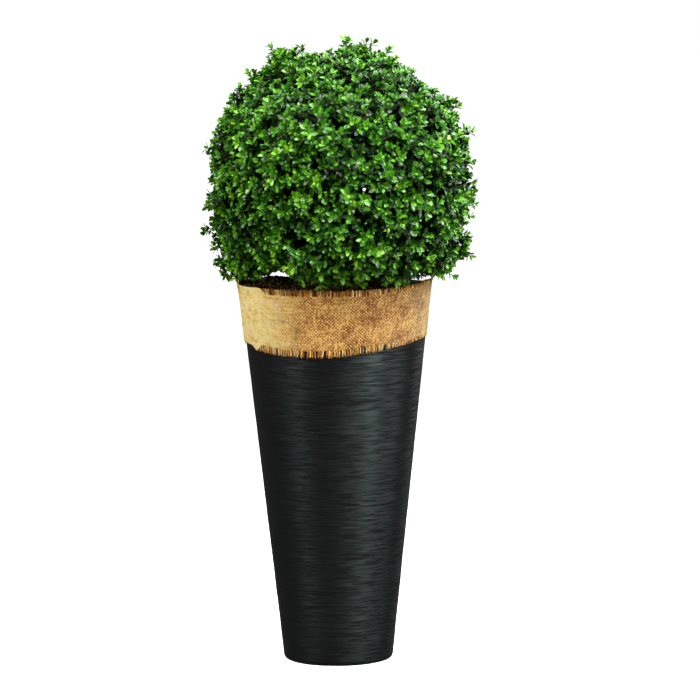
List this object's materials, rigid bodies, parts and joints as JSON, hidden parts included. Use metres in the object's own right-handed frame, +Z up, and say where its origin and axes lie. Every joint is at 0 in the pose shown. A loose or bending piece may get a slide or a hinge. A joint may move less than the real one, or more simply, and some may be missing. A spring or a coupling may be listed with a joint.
{
  "type": "potted boxwood ball topiary",
  "caption": "Clipped ball of boxwood on a short hidden stem, growing in a tall round tapered black planter with a band of natural burlap wrapped round its top.",
  "frame": {"origin": "middle of the planter's flat underside, where it stands on the floor", "axes": "+Z up along the planter's axis and the plant's height; -Y towards the front that the picture shows; +X to the right seen from the front"},
  "size_m": [0.5311, 0.4984, 1.1359],
  "materials": {
    "black_resin": "satin",
    "burlap": "matte",
    "potting_mix": "matte",
    "bark": "matte",
    "leaves": "satin"
  },
  "bodies": {
    "root": {"planter": "black_resin", "burlap_band": "burlap", "soil": "potting_mix", "stem": "bark", "foliage_ball": "leaves"}
  },
  "joints": []
}
